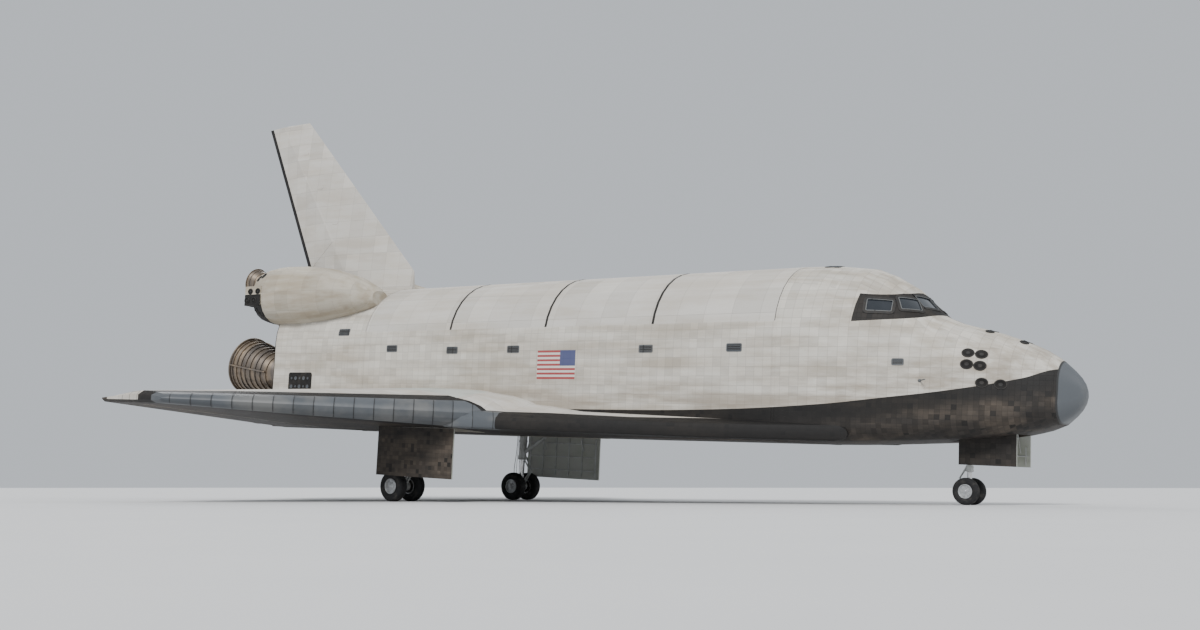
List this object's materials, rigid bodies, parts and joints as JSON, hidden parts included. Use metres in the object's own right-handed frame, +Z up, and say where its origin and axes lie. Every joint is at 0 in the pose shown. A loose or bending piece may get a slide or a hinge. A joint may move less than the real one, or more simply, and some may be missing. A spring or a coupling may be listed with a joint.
{
  "type": "winged space orbiter",
  "caption": "Full-size delta-winged reusable orbiter parked on its gear, with opening payload bay, hatch, elevons, rudder, speed brake and body flap.",
  "frame": {"origin": "on the ground under the middle of the outline", "axes": "+X to the nose, +Y to port, +Z up"},
  "size_m": [36.5322, 23.792, 17.2017],
  "materials": {
    "white_tile": "matt coated tile",
    "blanket": "matt quilted cloth",
    "black_tile": "matt black glass coating",
    "edge": "matt grey",
    "glass": "polished",
    "interior": "satin",
    "radiator": "mirror bright",
    "structure": "primed",
    "nozzle": "heat stained",
    "gear_metal": "satin",
    "wheel_metal": "satin",
    "tyre": "worn"
  },
  "bodies": {
    "root": {"nose_cap": "edge", "nose_section": "white_tile", "forward_thruster_module": "white_tile", "forward_fuselage": "white_tile", "windshield_glass": "glass", "overhead_glass": "glass", "flight_deck": "interior", "mid_fuselage": "white_tile", "aft_fuselage": "white_tile", "engine_block": "structure", "main_nozzle_upper": "nozzle", "main_nozzle_left": "nozzle", "main_nozzle_right": "nozzle", "base_heat_shield": "black_tile", "engine_pod_left": "blanket", "pod_nozzle_left": "nozzle", "engine_pod_right": "blanket", "pod_nozzle_right": "nozzle", "fin": "blanket", "wing_left": "black_tile", "leading_edge_left": "edge", "wing_right": "black_tile", "leading_edge_right": "edge", "main_gear_leg_left": "gear_metal", "main_gear_door_left": "black_tile", "main_gear_leg_right": "gear_metal", "main_gear_door_right": "black_tile", "nose_gear_leg": "gear_metal", "nose_gear_door_left": "black_tile", "nose_gear_door_right": "black_tile"},
    "crew_hatch": {"crew_hatch": "white_tile"},
    "payload_bay_door_left": {"payload_bay_door_left": "blanket", "radiator_left": "radiator"},
    "payload_bay_door_right": {"payload_bay_door_right": "blanket", "radiator_right": "radiator"},
    "body_flap": {"body_flap": "black_tile"},
    "rudder": {"rudder_post": "blanket"},
    "speed_brake_left": {"speed_brake_left": "blanket"},
    "speed_brake_right": {"speed_brake_right": "blanket"},
    "elevon_inboard_left": {"elevon_inboard_left": "black_tile"},
    "elevon_inboard_right": {"elevon_inboard_right": "black_tile"},
    "elevon_outboard_left": {"elevon_outboard_left": "black_tile"},
    "elevon_outboard_right": {"elevon_outboard_right": "black_tile"},
    "main_wheels_left": {"main_wheels_left": "wheel_metal", "main_tyre_inner_left": "tyre", "main_tyre_outer_left": "tyre"},
    "main_wheels_right": {"main_wheels_right": "wheel_metal", "main_tyre_inner_right": "tyre", "main_tyre_outer_right": "tyre"},
    "nose_steering": {"nose_gear_fork": "gear_metal"},
    "nose_wheels": {"nose_wheels": "wheel_metal", "nose_tyre_left": "tyre", "nose_tyre_right": "tyre"}
  },
  "joints": [
    {"name": "crew_hatch", "type": "hinge", "parent": "root", "child": "crew_hatch", "pos_m": [12.09773, 2.44026, 3.72071], "axis": [-0.989, 0.1387, 0.0518], "range_deg": [0, 90]},
    {"name": "payload_bay_door_left", "type": "hinge", "parent": "root", "child": "payload_bay_door_left", "pos_m": [0.41574, 2.65, 6.19549], "axis": [-0.9986, 0, 0.0523], "range_deg": [0, 175.5]},
    {"name": "payload_bay_door_right", "type": "hinge", "parent": "root", "child": "payload_bay_door_right", "pos_m": [0.41574, -2.65, 6.19549], "axis": [0.9986, 0, -0.0523], "range_deg": [0, 175.5]},
    {"name": "body_flap", "type": "hinge", "parent": "root", "child": "body_flap", "pos_m": [-14.67189, 0, 3.43533], "axis": [0, 1, 0], "range_deg": [-22.5, 11.7]},
    {"name": "rudder", "type": "hinge", "parent": "root", "child": "rudder", "pos_m": [-13.49159, 0, 11.24426], "axis": [-0.5277, 0, 0.8494], "range_deg": [-27.1, 27.1]},
    {"name": "speed_brake_left", "type": "hinge", "parent": "rudder", "child": "speed_brake_left", "pos_m": [-13.58503, 0.297, 11.18621], "axis": [0.5275, 0.0217, -0.8492], "range_deg": [0, 43.6]},
    {"name": "speed_brake_right", "type": "hinge", "parent": "rudder", "child": "speed_brake_right", "pos_m": [-13.58503, -0.297, 11.18621], "axis": [-0.5275, 0.0217, 0.8492], "range_deg": [0, 43.6]},
    {"name": "elevon_inboard_left", "type": "hinge", "parent": "root", "child": "elevon_inboard_left", "pos_m": [-10.98923, 2.997, 3.33245], "axis": [0.0019, 0.9994, 0.0355], "range_deg": [-25, 40]},
    {"name": "elevon_inboard_right", "type": "hinge", "parent": "root", "child": "elevon_inboard_right", "pos_m": [-10.98923, -2.997, 3.33245], "axis": [-0.0019, 0.9994, -0.0355], "range_deg": [-25, 40]},
    {"name": "elevon_outboard_left", "type": "hinge", "parent": "root", "child": "elevon_outboard_left", "pos_m": [-10.98125, 7.28028, 3.48481], "axis": [0.0019, 0.9994, 0.0355], "range_deg": [-25, 40]},
    {"name": "elevon_outboard_right", "type": "hinge", "parent": "root", "child": "elevon_outboard_right", "pos_m": [-10.98125, -7.28028, 3.48481], "axis": [-0.0019, 0.9994, -0.0355], "range_deg": [-25, 40]},
    {"name": "main_wheels_left", "type": "hinge", "parent": "root", "child": "main_wheels_left", "pos_m": [-5.66577, 3.454, 0.565], "axis": [0, 1, 0], "continuous": true},
    {"name": "main_wheels_right", "type": "hinge", "parent": "root", "child": "main_wheels_right", "pos_m": [-5.66577, -3.454, 0.565], "axis": [0, 1, 0], "continuous": true},
    {"name": "nose_steering", "type": "hinge", "parent": "root", "child": "nose_steering", "pos_m": [14.68783, 0, 0.4065], "axis": [0.0523, 0, 0.9986], "range_deg": [-9, 9]},
    {"name": "nose_wheels", "type": "hinge", "parent": "nose_steering", "child": "nose_wheels", "pos_m": [14.68783, 0, 0.4065], "axis": [0, 1, 0], "continuous": true}
  ]
}
